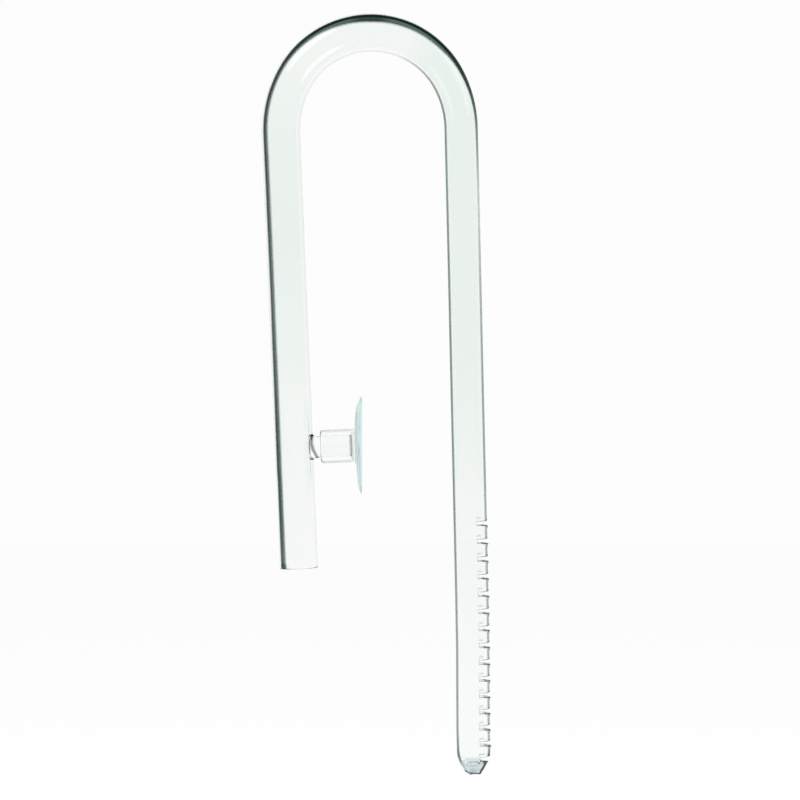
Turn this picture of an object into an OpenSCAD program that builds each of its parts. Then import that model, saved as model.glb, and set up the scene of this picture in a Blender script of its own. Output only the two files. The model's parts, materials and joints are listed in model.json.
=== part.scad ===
// Glass intake pipe that hangs over the rim of an aquarium, with its suction cup.
// All sizes are in millimetres. The origin is the centre of the cup's contact face, on
// the outside of the tank wall. +X points into the tank and +Z is up. The pipe bends in
// the XZ plane, and angles round the bend are counted from straight up towards +X.

/* [Outer leg] */
// Outer diameter of the end that the hose is pushed over
hose_end_d = 13.0; // [12.4:0.1:13.1]
// Length of that end, from the rim up
hose_end_len = 30; // [20:1:32]
// Length of the cone that widens the hose end to the leg
hose_cone_len = 3; // [1:0.5:3]
// Outer diameter of the leg above the cone
outer_leg_d = 13.2; // [13.2:0.1:14.4]
// Thickness of the glass in the outer leg and in the half of the crown above it
outer_wall = 1.25; // [1:0.05:1.7]
// Lean of the outer leg, its foot towards the tank, in degrees
outer_lean = 2.4; // [0:0.1:4]
// Distance along the leg from the peg down to the rim
rim_drop = 41.3; // [39.5:0.1:60]

/* [Bend] */
// Height of the crown's bend centre above the suction cup
crown_rise = 111.2; // [80:0.1:140]
// Bend radius of the crown, at the middle of the tube
crown_r = 29.9; // [26:0.1:34]
// Bend radius of the two shoulders below it
shoulder_r = 37; // [35:0.1:44]
// Angle that the crown's radius reaches down each side, in degrees
crown_half = 60; // [45:1:70]

/* [Inner leg] */
// Outer diameter of the leg in the water
inner_leg_d = 11.5; // [10.8:0.1:13]
// Thickness of the glass in that leg
inner_wall = 1.15; // [0.8:0.05:1.6]
// Lean of the inner leg, its foot away from the wall, in degrees
inner_lean = 1.2; // [0:0.1:3]
// Length from the end of the bend down to the tip's bottom
inner_reach = 221.2; // [180:0.1:260]

/* [Strainer] */
// Number of saw-cut slots
slot_count = 15; // [8:1:20]
// Distance from the last slot to the one above it
slot_pitch = 5.4; // [4:0.1:6]
// How much wider each further distance up the leg is than the one below it
slot_spread = 0.055; // [0:0.005:0.08]
// Width of a slot
slot_w = 1.2; // [0.8:0.1:1.8]
// Depth of a slot, in from the tube's outer surface
slot_depth = 3.5; // [2:0.1:4.5]
// Height of the last slot above the tip's bottom
last_slot_up = 5.4; // [5:0.1:7]

/* [Sealed tip] */
// Height over which the tube draws in to its sealed bottom
tip_h = 8.4; // [7.6:0.1:12]
// Diameter that it draws in to at the bottom
tip_end_d = 4.6; // [4:0.1:7]
// How round the tip's sides are: at 1 they are a plain cone
tip_roundness = 1.6; // [1.1:0.05:1.8]
// Rounding of the bottom's edge
tip_edge_r = 1; // [0.5:0.1:1.4]
// Thickness of the glass at the bottom
tip_floor = 3.6; // [2:0.1:4]

/* [Holder peg] */
// Diameter of the solid glass peg
peg_d = 7.4; // [6.5:0.1:8.2]
// Length of the peg, from the middle of the pipe to its end
peg_reach = 20; // [17:0.1:20.2]
// Rounding of the peg's end
peg_edge_r = 0.4; // [0.2:0.1:0.8]
// How much wider than the peg the weld is at the pipe, on each side
weld_flare = 1.4; // [0.5:0.1:2]
// Length of the weld's flare along the peg
weld_len = 2.7; // [1.5:0.1:2.8]
// How far inside the pipe's surface the flare starts, so that the pipe trims it
weld_sink = 0.5; // [0.3:0.1:1]

/* [Suction cup] */
// Distance from the middle of the pipe to the tank wall, along the peg
standoff = 23.3; // [23:0.1:26]
// Outer diameter of the disc
cup_d = 33.2; // [28:0.1:40]
// Thickness of the disc's lip
cup_lip = 0.5; // [0.4:0.1:0.8]
// Thickness that the disc rises to at its middle
cup_dome = 2.3; // [1.6:0.1:3]
// Width of the flat ring that seals on the wall
seal_w = 4.5; // [2:0.1:6]
// Depth of the shallow dish inside that ring
dish_depth = 0.35; // [0.1:0.05:0.6]
// Outer diameter of the collar that takes the peg
collar_d = 11.4; // [10:0.1:12.6]
// Length of the collar, from the wall to its mouth
collar_len = 14.2; // [12:0.1:14.3]
// Rounding of the collar's mouth, outside
collar_edge_r = 1; // [0.4:0.1:1.4]
// Chamfer of the collar's mouth, inside
mouth_chamfer = 0.3; // [0.1:0.1:0.5]
// Clearance round the peg in the collar
peg_clearance = 0.05; // [0.02:0.01:0.1]
// Gap between the peg's end and the bottom of its bore
peg_end_gap = 0.3; // [0.1:0.1:0.6]

/* [Hidden] */

$fn = 72;
glass = [0.80, 0.90, 0.87, 0.45];
soft_clear = [0.74, 0.88, 0.93, 0.6];

// The peg is square to the outer leg, so it rises towards the wall by the leg's lean.
peg_foot = [-standoff * cos(outer_lean), -standoff * sin(outer_lean)];

// Where the bend meets the outer leg, as x and z, and where its arcs have their centres
radius_step = shoulder_r - crown_r;
outer_end_z = crown_rise - radius_step * cos(crown_half) - shoulder_r * sin(outer_lean);
outer_end_x = peg_foot[0] - (outer_end_z - peg_foot[1]) * tan(outer_lean);
crown_x = outer_end_x + shoulder_r * cos(outer_lean) - radius_step * sin(crown_half);
crown_centre = [crown_x, crown_rise];
outer_centre = crown_centre + radius_step * [sin(crown_half), -cos(crown_half)];
inner_centre = crown_centre + radius_step * [-sin(crown_half), -cos(crown_half)];
inner_end = inner_centre + shoulder_r * [cos(inner_lean), sin(inner_lean)];

outer_bore_d = outer_leg_d - 2 * outer_wall;
inner_bore_d = inner_leg_d - 2 * inner_wall;

// Along the outer leg, counted up from the rim
outer_len = rim_drop + (outer_end_z - peg_foot[1]) / cos(outer_lean);
rim_wall = (hose_end_d - outer_bore_d) / 2;

// Along the inner leg, counted up from the tip's bottom
strainer_len = slot_up(slot_count) - tip_h;
inner_leg_from = tip_h + strainer_len;

// The drawn-down part of the bend: its two arcs' lengths and the share that each takes
crown_arc = crown_r * crown_half;
shoulder_arc = shoulder_r * (90 - inner_lean - crown_half);
crown_share = crown_arc / (crown_arc + shoulder_arc);

ring_sides = 48;
ring_step = 5;
curve_steps = 12;
overshoot = 1;

// Point of an arc in the XZ plane
function arc_point(centre, r, a) = [centre[0] + r * sin(a), 0, centre[1] + r * cos(a)];

// Diameter at a share of the way along the drawn-down part, easing in and out
function drawn(from_d, to_d, share) = to_d + (from_d - to_d) * (1 + cos(180 * share)) / 2;

// One ring of points square to an arc
function ring(centre, r, a, d) = [
    for (i = [0:ring_sides - 1])
        let (t = 360 * i / ring_sides)
        arc_point(centre, r, a) + d / 2 * [cos(t) * sin(a), sin(t), cos(t) * cos(a)]
];

// Two triangles for each side between one ring of points and the next
function skin(first, second) = [
    for (i = [0:ring_sides - 1])
        let (j = (i + 1) % ring_sides)
        each [[first + i, first + j, second + i], [first + j, second + j, second + i]]
];

// Frames that stand on the two legs, with their own +Z up along the leg
module on_outer_leg() {
    translate([outer_end_x, 0, outer_end_z]) rotate([0, -outer_lean, 0])
        translate([0, 0, -outer_len]) children();
}

module on_inner_leg() {
    translate([inner_end[0], 0, inner_end[1]]) rotate([0, -inner_lean, 0])
        translate([0, 0, -inner_reach]) children();
}

// Frame that stands on the peg's axis, at the wall, with its own +Z into the tank
module on_peg_axis() {
    rotate([0, 90 - outer_lean, 0]) children();
}

// A bend of even section, from one angle to another
module bent_tube(centre, r, from_a, to_a, d, bore) {
    translate([centre[0], 0, centre[1]]) rotate([90, 0, 0]) rotate([0, 0, 90 - to_a])
        rotate_extrude(angle = to_a - from_a) translate([r, 0]) difference() {
            circle(d = d);
            circle(d = bore);
        }
}

// A bend that is drawn down as it turns: share_0 and share_1 say which part of the
// drawn-down length it covers
module drawn_tube(centre, r, from_a, to_a, share_0, share_1) {
    rings = ceil((to_a - from_a) / ring_step);
    angles = [for (i = [0:rings]) from_a + (to_a - from_a) * i / rings];
    shares = [for (i = [0:rings]) share_0 + (share_1 - share_0) * i / rings];
    outside = [
        for (i = [0:rings])
            each ring(centre, r, angles[i], drawn(outer_leg_d, inner_leg_d, shares[i]))
    ];
    inside = [
        for (i = [0:rings])
            each ring(centre, r, angles[i], drawn(outer_bore_d, inner_bore_d, shares[i]))
    ];
    bore_at = len(outside);
    last = rings * ring_sides;
    polyhedron(
        points = concat(outside, inside),
        faces = concat(
            [for (i = [0:rings - 1]) each skin(i * ring_sides, (i + 1) * ring_sides)],
            [for (i = [0:rings - 1])
                each skin(bore_at + (i + 1) * ring_sides, bore_at + i * ring_sides)],
            skin(bore_at, 0),
            skin(last, bore_at + last)
        )
    );
}

// Height of a slot above the tip's bottom, counted from the last slot
function slot_up(i) = last_slot_up + i * slot_pitch + i * (i - 1) / 2 * slot_spread;

// The saw cuts, on the side away from the wall, in the inner leg's frame
module slots() {
    for (i = [0:slot_count - 1])
        translate([
            inner_leg_d / 2 - slot_depth,
            -inner_leg_d / 2 - overshoot,
            slot_up(i) - slot_w / 2
        ])
            cube([slot_depth + overshoot, inner_leg_d + 2 * overshoot, slot_w]);
}

// Radius of the tip's outside at a height over its bottom
function tip_radius(h) =
    let (left = pow(max(0, 1 - h / tip_h), tip_roundness))
    (inner_leg_d - (inner_leg_d - tip_end_d) * left) / 2;

// Half outline of the tip: a rounded blunt bottom, then sides that swell to the tube
function tip_outline() = concat(
    [[0, 0]],
    [
        for (i = [0:curve_steps / 2])
            let (a = 90 * i / (curve_steps / 2))
            [tip_radius(tip_edge_r) - tip_edge_r * (1 - sin(a)), tip_edge_r * (1 - cos(a))]
    ],
    [
        for (i = [1:curve_steps])
            let (h = tip_edge_r + (tip_h - tip_edge_r) * i / curve_steps)
            [tip_radius(h), h]
    ],
    [[0, tip_h]]
);

// Half outline of the hollow in the tip: a round-bottomed end of the bore
function tip_hollow() = concat(
    [
        for (i = [0:curve_steps])
            let (a = 90 * i / curve_steps)
            [inner_bore_d / 2 * sin(a), tip_h - (tip_h - tip_floor) * cos(a)]
    ],
    [[inner_bore_d / 2, tip_h + overshoot], [0, tip_h + overshoot]]
);

// Straight leg outside the tank, with the fire-polished end for the hose
module outer_leg() {
    leg_from = hose_end_len + hose_cone_len;
    color(glass) on_outer_leg() difference() {
        union() {
            rotate_extrude() translate([(hose_end_d - rim_wall) / 2, rim_wall / 2])
                circle(d = rim_wall);
            translate([0, 0, rim_wall / 2])
                cylinder(d = hose_end_d, h = hose_end_len - rim_wall / 2);
            translate([0, 0, hose_end_len])
                cylinder(d1 = hose_end_d, d2 = outer_leg_d, h = hose_cone_len);
            translate([0, 0, leg_from]) cylinder(d = outer_leg_d, h = outer_len - leg_from);
        }
        translate([0, 0, rim_wall / 2])
            cylinder(d = outer_bore_d, h = outer_len + overshoot);
    }
}

// Wider bend that eases the outer leg into the crown
module outer_shoulder() {
    color(glass) bent_tube(
        outer_centre, shoulder_r, -90 - outer_lean, -crown_half, outer_leg_d, outer_bore_d
    );
}

// Half of the crown over the outside of the tank, as wide as the outer leg
module crown_outer() {
    color(glass)
        bent_tube(crown_centre, crown_r, -crown_half, 0, outer_leg_d, outer_bore_d);
}

// Half of the crown over the water, where the tube starts to narrow
module crown_inner() {
    color(glass) drawn_tube(crown_centre, crown_r, 0, crown_half, 0, crown_share);
}

// Bend that eases the crown into the inner leg and narrows to its diameter
module inner_shoulder() {
    color(glass)
        drawn_tube(inner_centre, shoulder_r, crown_half, 90 - inner_lean, crown_share, 1);
}

// Straight leg in the water, down to the strainer
module inner_leg() {
    color(glass) on_inner_leg() translate([0, 0, inner_leg_from]) difference() {
        cylinder(d = inner_leg_d, h = inner_reach - inner_leg_from);
        translate([0, 0, -overshoot])
            cylinder(d = inner_bore_d, h = inner_reach + overshoot);
    }
}

// Slotted length of the inner leg
module strainer() {
    color(glass) on_inner_leg() difference() {
        translate([0, 0, tip_h]) cylinder(d = inner_leg_d, h = strainer_len);
        translate([0, 0, tip_h - overshoot])
            cylinder(d = inner_bore_d, h = strainer_len + 2 * overshoot);
        slots();
    }
}

// Closed end of the inner leg, drawn in to a thick blunt bottom
module sealed_tip() {
    color(glass) on_inner_leg() difference() {
        rotate_extrude() polygon(tip_outline());
        rotate_extrude() polygon(tip_hollow());
        slots();
    }
}

// Solid peg, welded square to the outer leg with a flared foot
module holder_peg() {
    foot_r = peg_d / 2 + weld_flare;
    flare_from = outer_leg_d / 2 - weld_sink;
    saddle_from = outer_leg_d / 8;
    outline = concat(
        [[0, saddle_from], [foot_r, saddle_from]],
        [
            for (i = [0:curve_steps])
                let (u = i / curve_steps)
                [peg_d / 2 + weld_flare * (1 - sin(90 * u)), flare_from + weld_len * u]
        ],
        [
            for (i = [0:curve_steps / 2])
                let (a = 90 * i / (curve_steps / 2))
                [
                    peg_d / 2 - peg_edge_r * (1 - cos(a)),
                    peg_reach - peg_edge_r * (1 - sin(a))
                ]
        ],
        [[0, peg_reach]]
    );
    color(glass) difference() {
        on_peg_axis() translate([0, 0, -standoff]) rotate_extrude() polygon(outline);
        on_outer_leg() cylinder(d = outer_leg_d, h = outer_len);
    }
}

// Soft cup: a thin disc flat on the wall, and a collar that slides over the peg
module suction_cup() {
    bore_bottom = standoff - peg_reach - peg_end_gap;
    bore_r = peg_d / 2 + peg_clearance;
    collar_r = collar_d / 2;
    disc = concat(
        [
            for (i = [0:curve_steps])
                let (u = i / curve_steps)
                [(cup_d / 2 - seal_w) * u, -dish_depth * (1 - u * u)]
        ],
        [[cup_d / 2, 0]],
        [
            for (i = [curve_steps:-1:0])
                let (u = i / curve_steps)
                [cup_d / 2 * u, -cup_lip - (cup_dome - cup_lip) * (1 - u * u)]
        ]
    );
    collar = concat(
        [[0, -dish_depth - cup_lip], [collar_r, -dish_depth - cup_lip]],
        [
            for (i = [0:curve_steps / 2])
                let (a = 90 * i / (curve_steps / 2))
                [
                    collar_r - collar_edge_r * (1 - cos(a)),
                    -collar_len + collar_edge_r * (1 - sin(a))
                ]
        ],
        [[0, -collar_len]]
    );
    color(soft_clear) difference() {
        union() {
            rotate([0, 90, 0]) rotate_extrude() polygon(disc);
            on_peg_axis() rotate_extrude() polygon(collar);
        }
        on_peg_axis() translate([0, 0, -collar_len - overshoot])
            cylinder(r = bore_r, h = collar_len - bore_bottom + overshoot);
        on_peg_axis() translate([0, 0, -collar_len])
            cylinder(r1 = bore_r + mouth_chamfer, r2 = bore_r, h = mouth_chamfer);
    }
}

outer_leg();
outer_shoulder();
crown_outer();
crown_inner();
inner_shoulder();
inner_leg();
strainer();
sealed_tip();
holder_peg();
suction_cup();
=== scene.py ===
"""Looks of an aquarium's glass intake pipe and its suction cup, and their stage."""

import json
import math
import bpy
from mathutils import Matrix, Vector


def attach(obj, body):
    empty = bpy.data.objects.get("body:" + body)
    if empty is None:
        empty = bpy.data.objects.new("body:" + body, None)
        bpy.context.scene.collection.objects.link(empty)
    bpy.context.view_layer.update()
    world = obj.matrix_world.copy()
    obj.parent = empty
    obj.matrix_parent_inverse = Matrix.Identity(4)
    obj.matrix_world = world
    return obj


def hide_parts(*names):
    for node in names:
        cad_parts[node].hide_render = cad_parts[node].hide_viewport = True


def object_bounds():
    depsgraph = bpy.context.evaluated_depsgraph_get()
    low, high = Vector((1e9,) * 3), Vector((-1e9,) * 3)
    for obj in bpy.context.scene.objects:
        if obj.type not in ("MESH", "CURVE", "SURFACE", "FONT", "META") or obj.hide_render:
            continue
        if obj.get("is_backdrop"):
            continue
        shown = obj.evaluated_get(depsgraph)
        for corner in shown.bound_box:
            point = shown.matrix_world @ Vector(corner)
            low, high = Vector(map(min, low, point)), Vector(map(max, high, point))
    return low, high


bl_info = {
    "name": "Glass Intake Pipe",
    "version": (1, 0, 0),
    "blender": (4, 5, 0),
    "location": "3D View > Sidebar > Intake Pipe",
    "description": "Builds a glass intake pipe, its suction cup and a pale studio",
    "category": "Add Mesh",
}

from contextlib import contextmanager

import bmesh
import bpy
import numpy as np
from mathutils import Vector
from mathutils.kdtree import KDTree

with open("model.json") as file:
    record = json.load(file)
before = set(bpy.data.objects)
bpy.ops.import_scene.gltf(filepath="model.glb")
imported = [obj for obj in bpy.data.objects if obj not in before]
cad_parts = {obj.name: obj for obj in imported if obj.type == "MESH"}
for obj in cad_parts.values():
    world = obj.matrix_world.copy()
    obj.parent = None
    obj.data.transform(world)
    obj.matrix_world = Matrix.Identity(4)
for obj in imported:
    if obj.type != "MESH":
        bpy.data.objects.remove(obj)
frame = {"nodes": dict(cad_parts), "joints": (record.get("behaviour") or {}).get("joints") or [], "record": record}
CAD_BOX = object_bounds()
MOUNTS = {mount["name"]: mount for mount in frame["record"]["mounts"]}
HOSE_END = MOUNTS["hose_end"]
BORE = MOUNTS["hose_end_bore"]
PEG_AXIS = Vector(frame["joints"][0]["axis"]).normalized()
GLASS_NODES = [name for name in frame["nodes"] if name != "suction_cup"]
MM = 0.001
CAMERA_AT = (0.0130, -1.6, 0.0154)
CAMERA_LENS = 210.5
FLOOR_HALF = 4.0
FLOOR_DROP = 0.045
# Each lamp's name, place, width and power.
LAMPS = (
    ("key_softbox", Vector((-1.1, -1.0, 1.5)), 1.2, 6.0),
    ("fill_softbox", Vector((1.4, -0.6, 0.9)), 1.2, 3.0),
)


def length(name, description, default):
    """A size in metres, shown in the scene's own unit."""
    return bpy.props.FloatProperty(
        name=name, description=description, default=default, min=0.0, subtype="DISTANCE", unit="LENGTH", precision=5
    )


def angle(name, description, degrees):
    """An angle, kept in radians and shown in degrees."""
    return bpy.props.FloatProperty(
        name=name, description=description, default=math.radians(degrees), subtype="ANGLE", unit="ROTATION"
    )


def number(name, description, default):
    """A plain number from 1 up."""
    return bpy.props.FloatProperty(name=name, description=description, default=default, min=1.0)


def colour(name, description, default):
    """A colour in linear light."""
    return bpy.props.FloatVectorProperty(
        name=name, description=description, default=default, size=3, min=0.0, max=1.0, subtype="COLOR"
    )


class PipeSizes(bpy.types.PropertyGroup):
    """Sizes of the glass, from the hose end to the sealed tip."""

    outer_d: length("Outer leg", "Diameter of the leg outside the tank", 0.0132)
    inner_d: length("Inner leg", "Diameter of the leg in the water", 0.0115)
    inner_wall: length("Inner wall", "Thickness of the glass in the inner leg", 0.00115)
    hose_cone: length("Hose cone", "Length of the cone above the hose end", 0.003)
    crown_r: length("Crown radius", "Bend radius of the crown", 0.0299)
    shoulder_r: length("Shoulder radius", "Bend radius of the two shoulders below it", 0.037)
    crown_half: angle("Crown angle", "How far the crown reaches down each side", 60.0)
    inner_lean: angle("Inner lean", "Lean of the inner leg, its foot away from the wall", 1.2)
    inner_reach: length("Inner reach", "Length from the bend to the tip's bottom", 0.2212)
    slot_count: bpy.props.IntProperty(
        name="Slots", description="Number of saw cuts in the strainer", default=15, min=1, max=20
    )
    slot_pitch: length("Slot pitch", "Distance between the last two saw cuts", 0.0054)
    slot_spread: length("Slot spread", "How much each distance grows up the leg", 0.000055)
    slot_w: length("Slot width", "Width of a saw cut", 0.0012)
    slot_depth: length("Slot depth", "Depth of a saw cut from the tube's outside", 0.0035)
    last_slot_up: length("Last slot", "Height of the last saw cut over the bottom", 0.0054)
    lip_round: length("Lip rounding", "How far the flame rounds a saw cut's edges", 0.00045)
    lip_flare: length("Lip flare", "How far the flame lifts its lower edge", 0.00035)
    tip_h: length("Tip height", "Height over which the tube draws in", 0.0084)
    tip_end_d: length("Tip end", "Diameter that the tip draws in to", 0.0046)
    tip_roundness: number("Tip roundness", "How round the tip's sides are. 1 is a plain cone", 1.9)
    tip_floor: length("Tip floor", "Thickness of the glass at the bottom", 0.0036)
    tip_edge: length("Tip edge", "Rounding of the bottom's edge", 0.001)
    tip_shift: length("Tip shift", "How far the bottom sits off the axis, towards the wall", 0.00055)
    tip_lift: length("Tip lift", "Height of the flat bottom over the drip's end", 0.0005)
    tip_tilt: angle("Tip tilt", "Slope of the flat bottom, its outer side lower", 9.7)
    peg_d: length("Peg", "Diameter of the solid glass peg", 0.0074)
    peg_reach: length("Peg reach", "Length of the peg from the pipe's middle", 0.020)
    peg_edge: length("Peg edge", "Rounding of the peg's end", 0.0004)
    standoff: length("Standoff", "Distance from the pipe's middle to the wall", 0.0233)
    weld_flare: length("Weld flare", "How much wider than the peg its weld is", 0.0014)
    weld_len: length("Weld length", "Length of the weld along the peg", 0.0027)


class CupSizes(bpy.types.PropertyGroup):
    """Sizes of the soft suction cup."""

    disc_d: length("Disc", "Diameter of the disc", 0.0332)
    lip: length("Lip", "Thickness of the disc at its edge", 0.0005)
    dome: length("Dome", "Thickness of the disc at its middle", 0.0023)
    seal_w: length("Seal", "Width of the flat ring on the wall", 0.0045)
    fullness: number("Fullness", "How full the disc's back is. 2 is a plain dome", 4.0)
    dish: length("Dish", "Depth of the dish inside that ring", 0.00035)
    # Only a painted dark ring marks this line on the disc's back; the disc has no relief there.
    painted_ring_r: length("Ridge", "Radius of the mould line on the disc's back", 0.0130)
    collar_d: length("Collar", "Diameter of the collar", 0.0114)
    collar_len: length("Collar length", "Distance of the collar's mouth from the wall", 0.0142)
    collar_edge: length("Collar edge", "Rounding of the collar's mouth", 0.001)
    bore_d: length("Collar bore", "Diameter of the bore for the peg", 0.0075)
    bore_floor: length("Bore floor", "Thickness between the bore and the wall", 0.003)
    root_fillet: length("Root fillet", "Fillet between the collar and the disc", 0.0009)


class LookColours(bpy.types.PropertyGroup):
    """Colours of the glass, the soft plastic and the studio."""

    glass: colour("Glass", "Clear borosilicate glass", (0.974, 0.982, 0.978))
    glass_tint: colour("Glass tint", "The same glass where it is faintly green", (0.908, 0.943, 0.921))
    # Partly the thick glass's own tint, partly painted shade for the dark that the thick bottom would refract.
    thick_glass_and_shade: colour("Thick glass", "The same glass where it is thick or melted", (0.42, 0.55, 0.57))
    # Painted refraction: the glass's dark edges, the gleam in them and their lines are matt colours laid on where the
    # glass is seen edge on. They stand in for a dark room that the glass would refract and reflect.
    painted_edge_green: colour("Edge", "The outermost rim of the glass's dark edges", (0.022, 0.044, 0.026))
    painted_edge_core: colour("Edge core", "The core of the glass's dark edges", (0.005, 0.015, 0.010))
    painted_edge_slate: colour("Edge gleam", "The blue gleam inside those edges", (0.092, 0.132, 0.134))
    painted_edge_stroke: colour("Edge line", "The second, thinner line inside that gleam", (0.040, 0.062, 0.068))
    painted_edge_pale: colour("Thin edge", "The paler edges of the drawn-down leg", (0.10, 0.175, 0.14))
    plastic: colour("Plastic", "Soft clear plastic of the cup", (0.985, 0.992, 0.990))
    plastic_haze: colour("Plastic haze", "The faint haze in it", (0.97, 0.98, 0.985))
    plastic_deep: colour("Deep plastic", "The same plastic where it is seen edge-on", (0.74, 0.95, 0.87))
    plastic_cool: colour("Cool plastic", "The bluish part of that", (0.76, 0.92, 0.95))
    # Painted refraction: dark outlines laid on the plastic where it is seen edge on.
    painted_plastic_edge: colour("Plastic edge", "Outlines of the soft plastic", (0.20, 0.27, 0.26))
    studio: colour("Studio", "Backdrop, and the glow of the floor", (1.0, 1.0, 1.0))
    floor: colour("Floor", "The dull floor under that glow", (0.95, 0.95, 0.95))
    floor_grain: colour("Floor grain", "Its paler grain", (0.97, 0.97, 0.97))


class IntakePipeSettings(bpy.types.PropertyGroup):
    """Everything that the sidebar shows."""

    pipe: bpy.props.PointerProperty(name="Pipe", description="Sizes of the glass", type=PipeSizes)
    cup: bpy.props.PointerProperty(name="Cup", description="Sizes of the suction cup", type=CupSizes)
    look: bpy.props.PointerProperty(name="Look", description="Colours", type=LookColours)


# Shaders


class Wire:
    """A value on its way through a shader. Sums on it add Math nodes."""

    def __init__(self, shader, socket):
        self.shader = shader
        self.socket = socket

    def math(self, operation, *values, clamp=False):
        return self.shader.add("ShaderNodeMath", {"operation": operation, "use_clamp": clamp}, dict(enumerate(values)))

    def __add__(self, other):
        return self.math("ADD", self, other)

    __radd__ = __add__

    def __sub__(self, other):
        return self.math("SUBTRACT", self, other)

    def __rsub__(self, other):
        return self.math("SUBTRACT", other, self)

    def __mul__(self, other):
        return self.math("MULTIPLY", self, other)

    def above(self, edge, width):
        """0 below the edge and 1 from a width above it."""
        return self.math("DIVIDE", self - edge, width, clamp=True)

    def clamped(self):
        """The same value, kept between 0 and 1."""
        return self.math("ADD", self, 0.0, clamp=True)


class Shader:
    """A node tree that is built by one method."""

    def __init__(self, owner):
        owner.use_nodes = True
        self.tree = owner.node_tree
        self.tree.nodes.clear()

    def add(self, kind, settings=None, inputs=None, output=0):
        """A node with these settings and sockets. Returns one of its outputs."""
        node = self.tree.nodes.new(kind)
        for name, value in (settings or {}).items():
            if name == "stops":
                self.set_stops(node.color_ramp, value)
            else:
                setattr(node, name, value)
        for name, value in (inputs or {}).items():
            socket = node.inputs[name]
            if isinstance(value, Wire):
                self.tree.links.new(value.socket, socket)
            else:
                socket.default_value = value
        return Wire(self, node.outputs[output]) if node.outputs else node

    @staticmethod
    def set_stops(ramp, stops):
        while len(ramp.elements) < len(stops):
            ramp.elements.new(0.5)
        for element, (place, value) in zip(ramp.elements, stops):
            element.position = place
            element.color = rgba(value)

    def mix(self, share, first, second):
        """A colour between two others. The Mix node's names aren't unique, so its sockets go by number."""
        return self.add("ShaderNodeMix", {"data_type": "RGBA"}, {0: share, 6: first, 7: second}, output=2)

    def layer(self, share, under, over):
        """One surface laid over another by a share."""
        return self.add("ShaderNodeMixShader", inputs={0: share, 1: under, 2: over})

    def facing(self):
        """0 where the surface is seen square on, and 1 where it is seen edge on."""
        return self.add("ShaderNodeLayerWeight", inputs={"Blend": 0.5}, output="Facing")

    def mark(self, name):
        """A number stored on the mesh."""
        return self.add("ShaderNodeAttribute", {"attribute_name": name}, output="Fac")

    def noise(self, scale, stretch=(1.0, 1.0, 1.0), detail=2.0):
        """Soft random variation from 0 to 1, in the object's own space."""
        place = self.add("ShaderNodeTexCoord", output="Object")
        placed = self.add("ShaderNodeMapping", inputs={"Vector": place, "Scale": stretch})
        return self.add("ShaderNodeTexNoise", inputs={"Vector": placed, "Scale": scale, "Detail": detail})

    def finish(self, surface, output="ShaderNodeOutputMaterial"):
        self.add(output, inputs={"Surface": surface})


def rgba(value):
    """A colour as a socket takes it."""
    return (*value[:3], 1.0)


def seen_directly(shader):
    """1 for what the camera sees, also in a gloss or through glass."""
    rays = ("Is Camera Ray", "Is Glossy Ray", "Is Transmission Ray")
    camera, glossy, through = (shader.add("ShaderNodeLightPath", output=ray) for ray in rays)
    return (camera + glossy + through).clamped()


def from_outside(shader):
    """1 where a face is seen from its front, and 0 from inside the solid."""
    return 1 - shader.add("ShaderNodeNewGeometry", output="Backfacing")


def painted_edge_shade(shader, facing, soft=0.10, rim=0.15, wander=0.03):
    """How much painted shade the glass gets here: a dark band where it is seen edge on, plus the painted dark marks on
    the mesh. The outermost rim of a wall stays clear.
    """
    shift = (shader.noise(30.0, detail=1.0) - 0.5) * wander
    rise = facing.above(shader.mark("edge_from") + shift, soft)
    fall = facing.above(shader.mark("edge_to") + shift, rim)
    return ((rise * (1 - fall) * shader.mark("edge_depth") + shader.mark("ink")) * from_outside(shader)).clamped()


def matt(shader, tone):
    """A dull surface of this colour, with no gloss."""
    return shader.add(
        "ShaderNodeBsdfPrincipled", inputs={"Base Color": tone, "Roughness": 0.6, "Specular IOR Level": 0.0}
    )


def clear(shader, tone, roughness, index, relief, strength, depth):
    """A see-through body of this colour, with a fine relief."""
    bump = {"Strength": strength, "Distance": depth, "Height": relief}
    values = {
        "Base Color": tone,
        "Roughness": roughness,
        "IOR": index,
        "Transmission Weight": 1.0,
        "Normal": shader.add("ShaderNodeBump", inputs=bump, output="Normal"),
    }
    return shader.add("ShaderNodeBsdfPrincipled", inputs=values)


# Tones of the glass's painted dark edges and their painted gleam, by how steeply the glass is seen.
EDGE_TONES = (
    (0.13, "painted_edge_slate"), (0.21, "painted_edge_stroke"), (0.29, "painted_edge_slate"), (0.35, "painted_edge_slate"),
    (0.43, "painted_edge_core"), (0.52, "painted_edge_core"), (0.66, "painted_edge_green"),
)


def glass_material(look):
    """Clear flame-worked glass. Its edges are painted dark with a matt layer, standing in for the dark of the room
    that they would refract and reflect.
    """
    material = bpy.data.materials.new("clear_glass")
    shader = Shader(material)
    facing = shader.facing()
    share = painted_edge_shade(shader, facing)
    stops = [(place, getattr(look, name)) for place, name in EDGE_TONES]
    ramp = shader.add("ShaderNodeValToRGB", {"stops": stops}, {"Fac": facing})
    edge = shader.mix(shader.mark("pale"), ramp, rgba(look.painted_edge_pale))
    edge = shader.mix(shader.mark("deep"), edge, rgba(look.painted_edge_core))
    draw_lines = shader.noise(90.0, stretch=(1.0, 1.0, 0.08))
    film = shader.noise(22.0, detail=4.0)
    tone = shader.mix(shader.mark("tint") * (film * 0.4 + 0.8), rgba(look.glass), rgba(look.glass_tint))
    # Towards the thick bottom the glass is mixed towards that tint and its painted shade.
    tone = shader.mix(shader.mark("melt"), tone, rgba(look.thick_glass_and_shade))
    glass = clear(shader, tone, film * 0.02, 1.47, relief=draw_lines, strength=0.05, depth=0.0004)
    # The painted edge shade is a matt layer over the clear glass.
    shader.finish(shader.layer(share, glass, matt(shader, edge)))
    return material


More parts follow.
